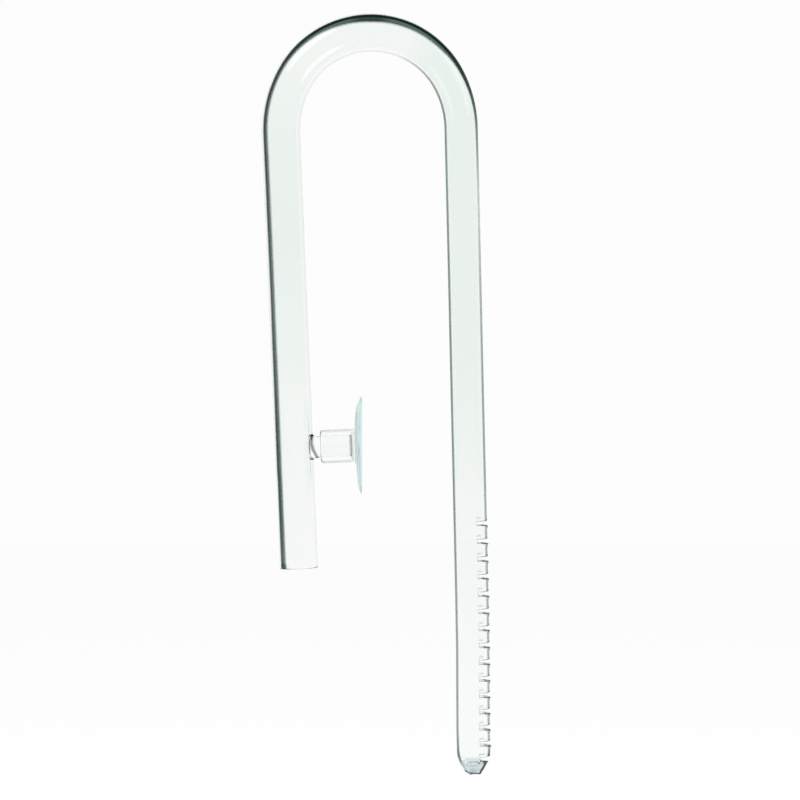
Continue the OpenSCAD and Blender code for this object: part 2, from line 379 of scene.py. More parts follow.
def plastic_material(look):
    """Soft clear plastic, a little hazy, with a cool tint where it is thick. Its outlines are painted dark where it is
    seen edge on.
    """
    material = bpy.data.materials.new("soft_clear")
    shader = Shader(material)
    outline = painted_edge_shade(shader, shader.facing(), soft=0.15, rim=0.1)
    haze = shader.noise(140.0, detail=4.0)
    patches = shader.noise(38.0, detail=1.0).above(0.40, 0.2)
    tone = shader.mix(haze * 0.3, rgba(look.plastic), rgba(look.plastic_haze))
    deep = shader.mix(patches, rgba(look.plastic_deep), rgba(look.plastic_cool))
    soft = clear(shader, tone, haze * 0.08 + 0.05, 1.45, relief=haze, strength=0.1, depth=0.0002)
    cloud = shader.mark("melt") * (haze * 0.5 + 0.75) * from_outside(shader)
    cloudy = shader.layer(cloud.clamped(), soft, matt(shader, deep))
    shader.finish(shader.layer(outline, cloudy, matt(shader, rgba(look.painted_plastic_edge))))
    return material


# Meshes


def add_object(name, data):
    """A new object in the scene."""
    thing = bpy.data.objects.new(name, data)
    bpy.context.scene.collection.objects.link(thing)
    return thing


class Skin:
    """A mesh that grows ring by ring, with the numbers that its shader reads."""

    # ink holds painted shade: dark marks where rounded edges, cuts and welds would refract a dark room. edge_from,
    # edge_to, edge_depth, pale and deep shape the painted dark edges.
    MARKS = dict(edge_from=0.5, edge_to=0.66, edge_depth=0.5, ink=0.0, melt=0.0, tint=0.3, pale=0.0, deep=0.0)

    def __init__(self):
        self.points = []
        self.faces = []
        self.marks = {name: [] for name in self.MARKS}

    def add(self, point, **marks):
        """One point with its marks. Returns its number."""
        self.points.append(point)
        for name, value in {**self.MARKS, **marks}.items():
            self.marks[name].append(float(value))
        return len(self.points) - 1

    def ring(self, points, **marks):
        """One closed row of points. A mark is one number, or one for each point."""
        return [
            self.add(point, **{name: value[i] if np.ndim(value) else value for name, value in marks.items()})
            for i, point in enumerate(points)
        ]

    def join(self, first, second, skip=()):
        """Quads between two closed rows, but for those in skip."""
        for i in range(len(first)):
            if i not in skip:
                j = (i + 1) % len(first)
                self.faces.append((first[i], first[j], second[j], second[i]))

    def join_all(self, rows):
        """Quads from each row to the next."""
        for first, second in zip(rows, rows[1:]):
            self.join(first, second)

    def cap(self, row, point, **marks):
        """A fan from a row to one point."""
        middle = self.add(point, **marks)
        self.faces += [(row[i], row[(i + 1) % len(row)], middle) for i in range(len(row))]

    def build(self, name, material):
        """The mesh as an object, without unused points."""
        used = sorted({number for face in self.faces for number in face})
        place = {number: i for i, number in enumerate(used)}
        self.points = [self.points[number] for number in used]
        self.faces = [tuple(place[number] for number in face) for face in self.faces]
        self.marks = {mark: [values[number] for number in used] for mark, values in self.marks.items()}
        mesh = bpy.data.meshes.new(name)
        mesh.from_pydata(self.points, [], self.faces)
        for mark, values in self.marks.items():
            mesh.attributes.new(mark, "FLOAT", "POINT").data.foreach_set("value", values)
        mesh.materials.append(material)
        outward_normals(mesh)
        return add_object(name, mesh)


@contextmanager
def edited(mesh):
    """The mesh, open for changes."""
    work = bmesh.new()
    work.from_mesh(mesh)
    yield work
    work.to_mesh(mesh)
    work.free()


def outward_normals(mesh):
    """Turns every face outwards."""
    with edited(mesh) as work:
        bmesh.ops.recalc_face_normals(work, faces=work.faces)


def smooth_but_for_creases(mesh, crease):
    """Shades the mesh smooth, apart from edges sharper than the crease."""
    mesh.shade_smooth()
    mesh.set_sharp_from_angle(angle=crease)


# Heights of the first rows over the rim, how far from the cone's ends and the peg rows lie closer, and the peg's rows.
RIM_HEIGHTS = (0.0009, 0.0013, 0.0022, 0.005, 0.010, 0.015, 0.020, 0.025)
CONE_EDGE = 0.0004
WELD_REACH = 0.007
PEG_ROWS = (0.0105, 0.0120, 0.0140, 0.0160, 0.0180)


class Course:
    """The pipe's middle line. Turns are counted from straight up, towards the water."""

    def __init__(self, sizes):
        self.sizes = sizes
        self.outer_r = sizes.outer_d / 2
        self.inner_r = sizes.inner_d / 2
        self.bore_r = BORE["dims"]["r_mm"] * MM
        self.inner_bore_r = self.inner_r - sizes.inner_wall
        self.hose_r = HOSE_END["dims"]["r_mm"] * MM
        self.rim_round = (self.hose_r - self.bore_r) / 2
        up = -Vector(HOSE_END["axis"]).normalized()
        lean = math.atan2(-up.x, up.z)
        self.outer_turn = -math.pi / 2 - lean
        self.inner_turn = math.pi / 2 - sizes.inner_lean
        self.rim = Vector(HOSE_END["pos_m"]) - up * self.rim_round
        self.outer_len = BORE["dims"]["length_mm"] * MM + self.rim_round
        self.hose_len = HOSE_END["dims"]["length_mm"] * MM + self.rim_round
        self.outer_end = self.rim + up * self.outer_len
        step = sizes.shoulder_r - sizes.crown_r
        self.outer_centre = self.outer_end - sizes.shoulder_r * self.out(self.outer_turn)
        self.crown_centre = self.outer_centre + step * self.out(-sizes.crown_half)
        self.inner_centre = self.crown_centre - step * self.out(sizes.crown_half)
        self.inner_end = self.inner_centre + sizes.shoulder_r * self.out(self.inner_turn)
        self.tip = self.inner_end + sizes.inner_reach * self.along(self.inner_turn)
        crown_arc = sizes.crown_r * sizes.crown_half
        shoulder_arc = sizes.shoulder_r * (self.inner_turn - sizes.crown_half)
        self.crown_share = crown_arc / (crown_arc + shoulder_arc)

    def peg_height(self):
        """Height of the peg over the rim, along the outer leg."""
        return (-self.sizes.standoff * PEG_AXIS - self.rim).dot(self.along(self.outer_turn))

    @staticmethod
    def out(turn):
        """Away from the inside of the bend."""
        return Vector((math.sin(turn), 0.0, math.cos(turn)))

    @staticmethod
    def along(turn):
        """Along the pipe, from the hose end to the tip."""
        return Vector((math.cos(turn), 0.0, -math.sin(turn)))

    @staticmethod
    def drawn(wide, narrow, share):
        """A radius on the drawn-down part, which eases in and out."""
        return narrow + (wide - narrow) * (1 + math.cos(math.pi * share)) / 2

    def leg_place(self, height):
        """Place on the inner leg, for the tables of marks."""
        return 90 + (self.sizes.inner_reach - height) / MM

    def outer_leg_stations(self):
        """Stations up the outer leg, closer by the rim, the cone and the weld."""
        cone_to = self.hose_len + self.sizes.hose_cone
        weld_from, weld_to = self.peg_height() - WELD_REACH, self.peg_height() + WELD_REACH
        heights = [self.rim_round, *RIM_HEIGHTS]
        heights += [end + side for end in (self.hose_len, cone_to) for side in (-CONE_EDGE, CONE_EDGE)]
        heights += levels(cone_to + 0.002, weld_from, 0.0025)
        heights += levels(weld_from, weld_to, 0.0007)
        heights += levels(weld_to, self.outer_len - 0.001, 0.0045)
        for height in heights:
            share = min(1.0, max(0.0, (height - self.hose_len) / self.sizes.hose_cone))
            radius = self.hose_r + (self.outer_r - self.hose_r) * share
            centre = self.rim + height * self.along(self.outer_turn)
            place = math.degrees(self.outer_turn) - (centre - self.outer_end).length / MM
            ink = RIM_PAINTED_SPOT if (centre - self.rim).length < RIM_PAINTED_SPOT_UP else None
            yield centre, self.outer_turn, radius, self.bore_r, place, 0.0, ink

    def bend_stations(self, step=math.radians(2.0)):
        """Stations round the bend. Each arc tells how far the tube is drawn down at its ends."""
        half = self.sizes.crown_half
        arcs = (
            (self.outer_centre, self.sizes.shoulder_r, self.outer_turn, -half, 0.0, 0.0),
            (self.crown_centre, self.sizes.crown_r, -half, 0.0, 0.0, 0.0),
            (self.crown_centre, self.sizes.crown_r, 0.0, half, 0.0, self.crown_share),
            (self.inner_centre, self.sizes.shoulder_r, half, self.inner_turn, self.crown_share, 1.0),
        )
        for centre, radius, start, end, share_0, share_1 in arcs:
            count = math.ceil((end - start) / step)
            for i in range(count):
                part = i / count
                turn = start + (end - start) * part
                share = share_0 + (share_1 - share_0) * part
                outside = self.drawn(self.outer_r, self.inner_r, share)
                bore = self.drawn(self.bore_r, self.inner_bore_r, share)
                yield centre + radius * self.out(turn), turn, outside, bore

    def tip_radius(self, height):
        """Outside of the inner leg: a rounded blunt bottom, then sides that swell to the tube."""
        sizes = self.sizes
        end_r, edge = sizes.tip_end_d / 2, sizes.tip_edge

        def side(level):
            left = max(0.0, 1 - level / sizes.tip_h) ** sizes.tip_roundness
            return self.inner_r - (self.inner_r - end_r) * left

        if height >= edge:
            return side(height)
        return side(edge) - edge * (1 - math.sqrt(max(0.0, 1 - (1 - height / edge) ** 2)))

    def hollow_radius(self, height):
        """Inside of the inner leg: the bore and its round bottom."""
        deep = (self.sizes.tip_h - height) / (self.sizes.tip_h - self.sizes.tip_floor)
        return self.inner_bore_r * math.sqrt(max(0.0, 1 - max(0.0, deep) ** 2))

    def inner_point(self, height):
        """Middle of the inner leg at a height over the tip's bottom. The melted glass sags to one side."""
        sag = max(0.0, 1 - height / self.sizes.tip_h) ** 2 * self.sizes.tip_shift
        aside = stepped(height / MM, BOW) * MM - sag
        return self.tip - height * self.along(self.inner_turn) + aside * self.out(self.inner_turn)


def levels(start, stop, step):
    """Numbers from the start to before the stop."""
    return [float(level) for level in np.arange(start, stop, step)]


def smooth_step(value, start, end):
    """0 at the start, 1 at the end, eased between them."""
    share = min(1.0, max(0.0, (value - start) / (end - start)))
    return share * share * (3 - 2 * share)


def stepped(value, table):
    """Straight interpolation in a table of values by place."""
    places, values = zip(*table.items())
    return float(np.interp(value, places, values))


def arc(count, sweep=math.pi / 2):
    """Sines and cosines along an arc, its ends included."""
    return [(math.sin(sweep * k / count), math.cos(sweep * k / count)) for k in range(count + 1)]


def bell(value, middle, width):
    """1 at the middle, falling softly on both sides."""
    return np.exp(-(((value - middle) / width) ** 2))


# Sides of the tube across the saw cuts, and round the rest of it.
SAWN_SIDES = 36
BACK_SIDES = 44
# How the glass's painted dark edges (painted refraction of a dark room) run along the pipe, on the bend's outside and
# inside: how dark they are, and how steeply the glass is seen where they start and stop. A place is the turn in
# degrees round the bend. Beyond 90 to each side it goes on in millimetres down the leg.
OUTSIDE = {
    "edge_depth": {
        -240: 0.93, -217: 0.97, -149: 0.94, -90: 0.95, -60: 0.96, -45: 0.98, -30: 1.0, 45: 1.0, 60: 0.98, 75: 0.98,
        85: 0.93, 97: 0.80, 106: 0.56, 114: 0.40, 123: 0.42, 131: 0.54, 147: 0.64, 165: 0.70, 181: 0.74, 212: 0.72,
        222: 0.66, 299: 0.62, 306: 0.90, 311: 0.90,
    },
    "edge_from": {
        -217: 0.22, -149: 0.20, -90: 0.22, -60: 0.25, -45: 0.23, -30: 0.19, -15: 0.14, 0: 0.10, 15: 0.13, 30: 0.16,
        45: 0.18, 60: 0.28, 75: 0.37, 97: 0.44, 301: 0.44, 306: 0.40, 311: 0.38,
    },
    "edge_to": {
        -240: 0.57, -217: 0.56, -203: 0.55, -149: 0.46, -88: 0.51, -60: 0.57, -45: 0.62, -15: 0.59, 15: 0.60, 30: 0.66,
        45: 0.69, 60: 0.78, 75: 0.78, 85: 0.77, 97: 0.78, 301: 0.78, 306: 0.74, 311: 0.72,
    },
}
INSIDE = {
    "edge_depth": {
        -95: 0.05, 0: 0.06, 20: 0.14, 35: 0.40, 60: 0.66, 85: 0.80, 147: 0.84, 215: 0.82, 250: 0.76, 297: 0.76,
        303: 0.88, 306: 0.80, 307.5: 0.45, 309: 0.20, 311: 0.20,
    },
    "edge_from": {-95: 0.45, 0: 0.50, 20: 0.50, 60: 0.44, 85: 0.44, 300: 0.44, 306: 0.40, 311: 0.42},
    "edge_to": {-95: 0.95, 0: 0.80, 20: 0.66, 60: 0.70, 85: 0.78, 300: 0.78, 306: 0.74, 311: 0.72},
}
# In the same places: where the painted dark edges are at their darkest, where they are paler, and how green the clear
# glass is.
DEEP = {-13: 0.0, -6: 0.65, 5: 0.65, 12: 0.0}
PALE = {-240: 0.35, -203: 0.25, -149: 0.15, -90: 0.0, 62: 0.0, 97: 1.0, 301: 1.0, 306: 0.2, 311: 0.0}
TINT = {
    -240: 0.0, -217: 0.2, -190: 0.3, -170: 0.65, -149: 0.78, -128: 0.88, -90: 0.78, -50: 0.45, 25: 0.35, 45: 0.9,
    60: 0.95, 170: 0.9, 190: 0.7, 220: 0.3, 254: 0.1, 288: 0.0, 300: 0.0, 311: 0.3,
}
TIP_PLACE = 311
# The inner leg's bow in millimetres: how far its middle lies off a straight line, for each height over the tip.
BOW = {0: -0.10, 15: -0.22, 26: -0.04, 43: 0.24, 60: 0.32, 94: 0.30, 128: 0.21, 162: 0.17, 200: 0.08, 222: 0.0}


def painted_mark(depth, middle=0.0, width=math.inf):
    """A dark spot of painted shade on a row, or a line of it along all of the row. A row's middle is 0, and 1 is where
    the saw cuts end.
    """
    return lambda from_middle: depth * bell(from_middle, middle, width)


def painted_cut_shade(from_middle):
    """A patch of painted shade beside a saw cut's inner end."""
    return 0.26 * smooth_step(from_middle, 0.66, 0.78) * (1 - smooth_step(from_middle, 0.92, 1.0))


# Painted shade: a dark spot on the rim's lowest rows, and how far up from the rim it reaches.
RIM_PAINTED_SPOT = painted_mark(0.8, 0.54, 0.13)
RIM_PAINTED_SPOT_UP = 0.0014
# Painted shade: a dark line round the tip's bottom edge.
BOTTOM_LINE = painted_mark(0.6)
# Rows beside a saw cut: the distance from it, their share of the lips' lift, and the painted shade on them above the
# cut.
LIP_ROWS = (
    (0.0013, 0.0, None), (0.0010, 0.1, painted_cut_shade), (0.0006, 0.3, painted_cut_shade),
    (0.0004, 0.5, painted_mark(0.192, 0.33, 0.14)), (0.0002, 0.75, painted_mark(0.32, 0.33, 0.14)),
)
# How dark a saw cut's lower lip is painted, from its middle to its end: two stretches of painted shade with a paler
# painted gleam between them.
LOWER_LIP = {0.0: 0.0, 0.3: 0.1, 0.45: 0.5, 0.52: 0.85, 0.68: 0.85, 0.76: 0.15, 0.84: 0.5, 0.97: 0.5, 1: 0.2}
# Rings of the melted bottom: their share of its radius, how far they hang, and what share of it they lie aside.
BOTTOM_RINGS = ((0.75, 0.0001, 0.1), (0.5, 0.00025, 0.25), (0.25, 0.00045, 0.4))
DRIP_END = (0.00055, 0.45)


class PipeSkin:
    """The glass as one closed skin: outside, bore, rounded rim, saw cuts and sealed tip."""

    def __init__(self, sizes):
        self.sizes = sizes
        self.course = Course(sizes)
        self.skin = Skin()
        self.outer_rows, self.bore_rows = [], []

    def turns_round(self, radius):
        """Angles of a ring's points from the bend's outside. The first ones span the saw cuts."""
        reach = self.course.inner_r - (self.sizes.slot_depth + self.sizes.lip_round)
        half = math.acos(min(0.94, reach / radius))
        sawn = [half * (2 * i / SAWN_SIDES - 1) for i in range(SAWN_SIDES + 1)]
        back = [half + (2 * math.pi - 2 * half) * i / BACK_SIDES for i in range(1, BACK_SIDES)]
        return sawn + back, half

    @staticmethod
    def marks(place, round_angle):
        """How much painted edge shade the glass gets where it turns away."""
        share = smooth_step((1 + math.cos(round_angle)) / 2, 0.25, 0.75)
        marks = {}
        for name in OUTSIDE:
            outside, inside = stepped(place, OUTSIDE[name]), stepped(place, INSIDE[name])
            marks[name] = inside + (outside - inside) * share
        return marks

    def ring(self, centre, turn, radius, bore=False, place=None, flare=0.0, melt=0.0, ink=None, tilt=0.0):
        """One row of points square to the pipe. Returns their numbers."""
        out = Course.out(turn)
        place = math.degrees(turn) if place is None else place
        angles, half = self.turns_round(radius)
        tint, pale, deep = (stepped(place, table) for table in (TINT, PALE, DEEP))
        row = []
        for i, t in enumerate(angles):
            from_middle = min(abs(t), 2 * math.pi - t) / half
            lift = flare * smooth_step(1 - from_middle, 0.0, 0.35) if i <= SAWN_SIDES else 0.0
            point = centre + (radius + lift) * (math.cos(t) * out + math.sin(t) * Vector((0.0, 1.0, 0.0)))
            point += Course.along(turn) * (math.tan(tilt) * radius * math.cos(t))
            marks = {"edge_depth": 0.0} if bore else self.marks(place, t)
            marks["edge_depth"] *= 1 - 0.25 * lift / self.sizes.lip_flare
            if ink and not bore:
                marks["ink"] = ink(from_middle)
            row.append(self.skin.add(point, melt=melt, tint=tint, pale=pale, deep=deep, **marks))
        return row

    def station(self, centre, turn, outside, bore, place=None, flare=0.0, ink=None):
        """A row outside and a row in the bore."""
        self.outer_rows.append(self.ring(centre, turn, outside, place=place, flare=flare, ink=ink))
        self.bore_rows.append(self.ring(centre, turn, bore, bore=True, place=place, flare=flare))

    def build(self, name, material):
        """Stations from the rim to the tip, and then what closes them."""
        course = self.course
        for station in course.outer_leg_stations():
            self.station(*station)
        self.close_rim(self.outer_rows[0], self.bore_rows[0])
        for station in course.bend_stations():
            self.station(*station)
        cut_rows = {}
        for height, flare, cut, ink in self.leg_heights():
            if cut is not None:
                cut_rows.setdefault(cut, []).append(len(self.outer_rows))
            radii = course.tip_radius(height), course.hollow_radius(height)
            self.station(course.inner_point(height), course.inner_turn, *radii, course.leg_place(height), flare, ink)
        sawn = set(range(SAWN_SIDES))
        cut_spans = {row for rows in cut_rows.values() for row in rows[:-1]}
        for rows in (self.outer_rows, self.bore_rows):
            for i in range(len(rows) - 1):
                self.skin.join(rows[i], rows[i + 1], skip=sawn if i in cut_spans else ())
        for rows in cut_rows.values():
            self.round_cut(rows)
        self.close_tip(self.outer_rows[-1], self.bore_rows[-1])
        return self.skin.build(name, material)

    def slot_up(self, i):
        """Height of a saw cut over the tip's bottom, counted from the last one."""
        sizes = self.sizes
        return sizes.last_slot_up + i * sizes.slot_pitch + i * (i - 1) / 2 * sizes.slot_spread

    def leg_heights(self):
        """Rows of the inner leg: height over the tip's bottom, the lip's lift, the saw cut they bound, and their
        painted shade.
        """
        sizes = self.sizes
        half = sizes.slot_w / 2 + sizes.lip_round
        last = sizes.slot_count - 1
        top = self.slot_up(last) + 0.004
        heights = [*levels(sizes.inner_reach, top, -0.0055), self.slot_up(last) + half + 0.0022]
        rows = [(height, 0.0, None, None) for height in heights]
        for i in range(last, -1, -1):
            middle = self.slot_up(i)
            upper, lower = sizes.lip_flare * 0.3, sizes.lip_flare if i else sizes.lip_flare * 0.6
            rows += [(middle + half + rise, upper * part, None, ink) for rise, part, ink in LIP_ROWS]
            across = ((1, upper), (0.5, upper), (0, 0.0), (-0.5, lower), (-1, lower))
            rows += [(middle + half * part, lift, i, None) for part, lift in across]
            if i:
                rows += [(middle - half - rise, lower * part, None, None) for rise, part, _ in reversed(LIP_ROWS)]
                rows.append(((middle + self.slot_up(i - 1)) / 2, 0.0, None, None))
        return rows

    def round_edge(self, outside, bore, bulges, steps, marks_at):
        """A half-round edge from the outside to the bore. Each point bulges its own way."""
        rows = [outside]
        for k in range(1, steps):
            phase = math.pi * k / steps
            row = []
            for i, (a, b) in enumerate(zip(outside, bore)):
                first, second = self.skin.points[a], self.skin.points[b]
                middle, half = (first + second) / 2, (first - second) / 2
                point = middle + half * math.cos(phase) + bulges[i] * math.sin(phase)
                row.append(self.skin.add(point, **marks_at(i, phase)))
            rows.append(row)
        self.skin.join_all([*rows, bore])

    def close_rim(self, outside, bore):
        """The fire-polished rim, half round."""
        course, known = self.course, self.skin.marks

        def marks_at(i, phase):
            # The rounding's outer half gets painted shade, fading to none half way round.
            shares = {"edge_from": 1.0, "edge_to": 1.0, "edge_depth": 0.35, "ink": max(0.0, math.cos(phase))}
            return {"tint": 0.0, **{name: known[name][outside[i]] * share for name, share in shares.items()}}

        bulge = -course.along(course.outer_turn) * course.rim_round
        self.round_edge(outside, bore, [bulge] * len(outside), 8, marks_at)

    def round_cut(self, rows):
        """The flame-rounded edges of one saw cut."""
        down = self.course.along(self.course.inner_turn)
        out = self.course.out(self.course.inner_turn)
        top, bottom, between = rows[0], rows[-1], rows[1:-1]
        last = SAWN_SIDES
        loop = [(top, i, down) for i in range(1, last)]
        loop += [(top, last, down + out)] + [(row, last, out) for row in between] + [(bottom, last, out - down)]
        loop += [(bottom, i, -down) for i in range(last - 1, 0, -1)]
        loop += [(bottom, 0, out - down)] + [(row, 0, out) for row in reversed(between)] + [(top, 0, down + out)]
        tones = [self.painted_lip_shade(row == bottom, i) for row, i, _ in loop]
        outside = [self.outer_rows[row][i] for row, i, _ in loop]
        bore = [self.bore_rows[row][i] for row, i, _ in loop]
        bulges = [into.normalized() * self.sizes.lip_round for _, _, into in loop]

        # The lips' rounding gets painted shade, strongest half way round.
        def marks_at(i, phase):
            return {"edge_depth": 0.3, "ink": tones[i] * math.sin(phase)}

        self.round_edge(outside, bore, bulges, 6, marks_at)

    @staticmethod
    def painted_lip_shade(lower, i):
        """How dark a saw cut's lip is painted at this side of the tube: painted shade on the flame-rounded lip."""
        from_middle = abs(2 * i / SAWN_SIDES - 1)
        return stepped(from_middle, LOWER_LIP) if lower else 0.25 * smooth_step(from_middle, 0.5, 0.8)

    def close_tip(self, outside, bore):
        """The tip's thick bottom, outside and in the hollow. The melted glass leans more and more."""
        course, sizes = self.course, self.sizes
        turn, edge = course.inner_turn, sizes.tip_edge
        lowest = sizes.last_slot_up - sizes.slot_w / 2 - sizes.lip_round
        line_below, melted_below, step = 0.0007, 0.003, 0.0004
        heights = levels(lowest - step, edge, -step)
        heights += [edge * (1 - sine) for sine, _ in arc(6)[:-1]]
        rows = [outside]
        for height in heights:
            low = 1 - height / lowest
            centre = course.inner_point(height + sizes.tip_lift * low)
            # Near the bottom the glass gets the thick glass's tint and painted shade, and its lowest rows a painted
            # dark line.
            marks = {
                "place": course.leg_place(height),
                "melt": 0.9 * smooth_step(height, lowest, melted_below),
                "ink": BOTTOM_LINE if height < line_below else None,
            }
            rows.append(self.ring(centre, turn, course.tip_radius(height), tilt=sizes.tip_tilt * low, **marks))
        bottom_r = course.tip_radius(0.0)

        def hanging(drop, aside):
            return course.inner_point(sizes.tip_lift) + drop * course.along(turn) - aside * bottom_r * course.out(turn)

        for part, *offset in BOTTOM_RINGS:
            marks = {"place": TIP_PLACE, "melt": 0.8, "tilt": sizes.tip_tilt * part}
            rows.append(self.ring(hanging(*offset), turn, bottom_r * part, **marks))
        self.skin.join_all(rows)
        self.skin.cap(rows[-1], hanging(*DRIP_END), edge_from=0.3, edge_to=0.9, edge_depth=0.3, melt=0.3)
        rows = [bore]
        deep = sizes.tip_h - sizes.tip_floor
        start = math.acos(min(1.0, (sizes.tip_h - lowest) / deep))
        steps = 6
        for k in range(1, steps):
            round_end = start * (1 - k / steps)
            centre = course.inner_point(sizes.tip_h - deep * math.cos(round_end))
            radius = course.inner_bore_r * math.sin(round_end)
            rows.append(self.ring(centre, turn, radius, bore=True, place=TIP_PLACE))
        self.skin.join_all(rows)
        self.skin.cap(rows[-1], course.inner_point(sizes.tip_floor), edge_depth=0.0)


def peg_skin(sizes, material):
    """The solid peg with its flared weld, across which a dark streak of painted shade runs. Its foot ends in the
    pipe's wall.
    """
    course = Course(sizes)
    skin = Skin()
    side = Vector((0.0, 1.0, 0.0))
    rise = PEG_AXIS.cross(side)
    foot = -sizes.standoff * PEG_AXIS
    sides = 64
    sunk = 0.0005
    peg_r, weld_r = sizes.peg_d / 2, sizes.peg_d / 2 + sizes.weld_flare
    skin_at = course.outer_r

    def row(radius, reach, depth, ink=0.0, saddle=0.0, streak=None, tint=0.0):
        numbers = []
        for i in range(sides):
            t = 2 * math.pi * i / sides
            y, z = radius * math.cos(t), radius * math.sin(t)
            on_pipe = math.sqrt(max(0.0, skin_at**2 - y * y)) - sunk
            x = on_pipe * saddle + reach * (1 - saddle)
            point = foot + PEG_AXIS * x + side * y + rise * z
            tone = ink
            # Painted shade on one side of the weld (y below 0): a dark streak and a dark spot, standing in for what
            # the weld refracts.
            if streak is not None and y < 0:
                low = (1 - z / radius) / 2
                tone += 0.85 * bell(streak, 0.33 + 0.42 * low**2.2, 0.12)
                tone += 0.9 * bell(low, 0.06, 0.11) * bell(streak, 0.22, 0.18)
            numbers.append(skin.add(point, edge_depth=depth, ink=min(1.0, tone), tint=tint))
        return numbers

    rows = [row(weld_r * part, skin_at, 0.2, saddle=1.0) for part in (0.25, 0.5, 0.75)]
    for part in np.linspace(0.0, 1.0, 15):
        radius = peg_r + sizes.weld_flare * (1 - math.sin(math.pi / 2 * part))
        reach = skin_at - sunk + sizes.weld_len * part
        rows.append(row(radius, reach, 0.15, saddle=(1 - part) ** 2, streak=part))
    end, edge, dark_end = sizes.peg_reach, sizes.peg_edge, 0.0008
    for reach in (*PEG_ROWS, end - edge - dark_end):
        rows.append(row(peg_r, reach, 0.0, tint=-1.0))
    # The peg's rounded end gets painted shade.
    for sine, cosine in arc(6):
        rows.append(row(peg_r - edge * (1 - cosine), end - edge * (1 - sine), 0.4, 0.6))
    for part in (0.9, 0.75, 0.5, 0.25):
        rows.append(row((peg_r - edge) * part, end, 0.3, 0.1))
    skin.join_all(rows)
    skin.cap(rows[0], foot + PEG_AXIS * (skin_at - sunk), edge_depth=0.2)
    skin.cap(rows[-1], foot + PEG_AXIS * end, edge_depth=0.3)
    return skin, skin.build("peg_blank", material)


def weld(piece, skin, blank, blank_skin):
    """Joins the blank to the piece as one skin, and gives the points their marks again."""
    union = piece.modifiers.new("weld", "BOOLEAN")
    union.operation = "UNION"
    union.solver = "EXACT"
    union.object = blank
    graph = bpy.context.evaluated_depsgraph_get()
    joined = bpy.data.meshes.new_from_object(piece.evaluated_get(graph))
    piece.modifiers.clear()
    close_slivers(joined, middle=sum(blank_skin.points, Vector()) / len(blank_skin.points))
    points = skin.points + blank_skin.points
    tree = KDTree(len(points))
    for i, point in enumerate(points):
        tree.insert(point, i)
    tree.balance()
    nearest = [tree.find(vertex.co)[1] for vertex in joined.vertices]
    for name in Skin.MARKS:
        values = skin.marks[name] + blank_skin.marks[name]
        joined.attributes[name].data.foreach_set("value", [values[i] for i in nearest])
    spent = piece.data
    piece.data = joined
    bpy.data.meshes.remove(spent)
    bpy.data.objects.remove(blank)


def close_slivers(mesh, middle, reach=0.016, gap=0.00004):
    """Merges points near the middle that the joint left almost in one place."""
    with edited(mesh) as work:
        near = [point for point in work.verts if (point.co - middle).length < reach]
        bmesh.ops.remove_doubles(work, verts=near, dist=gap)
        bmesh.ops.dissolve_degenerate(work, edges=work.edges[:], dist=MM * MM)


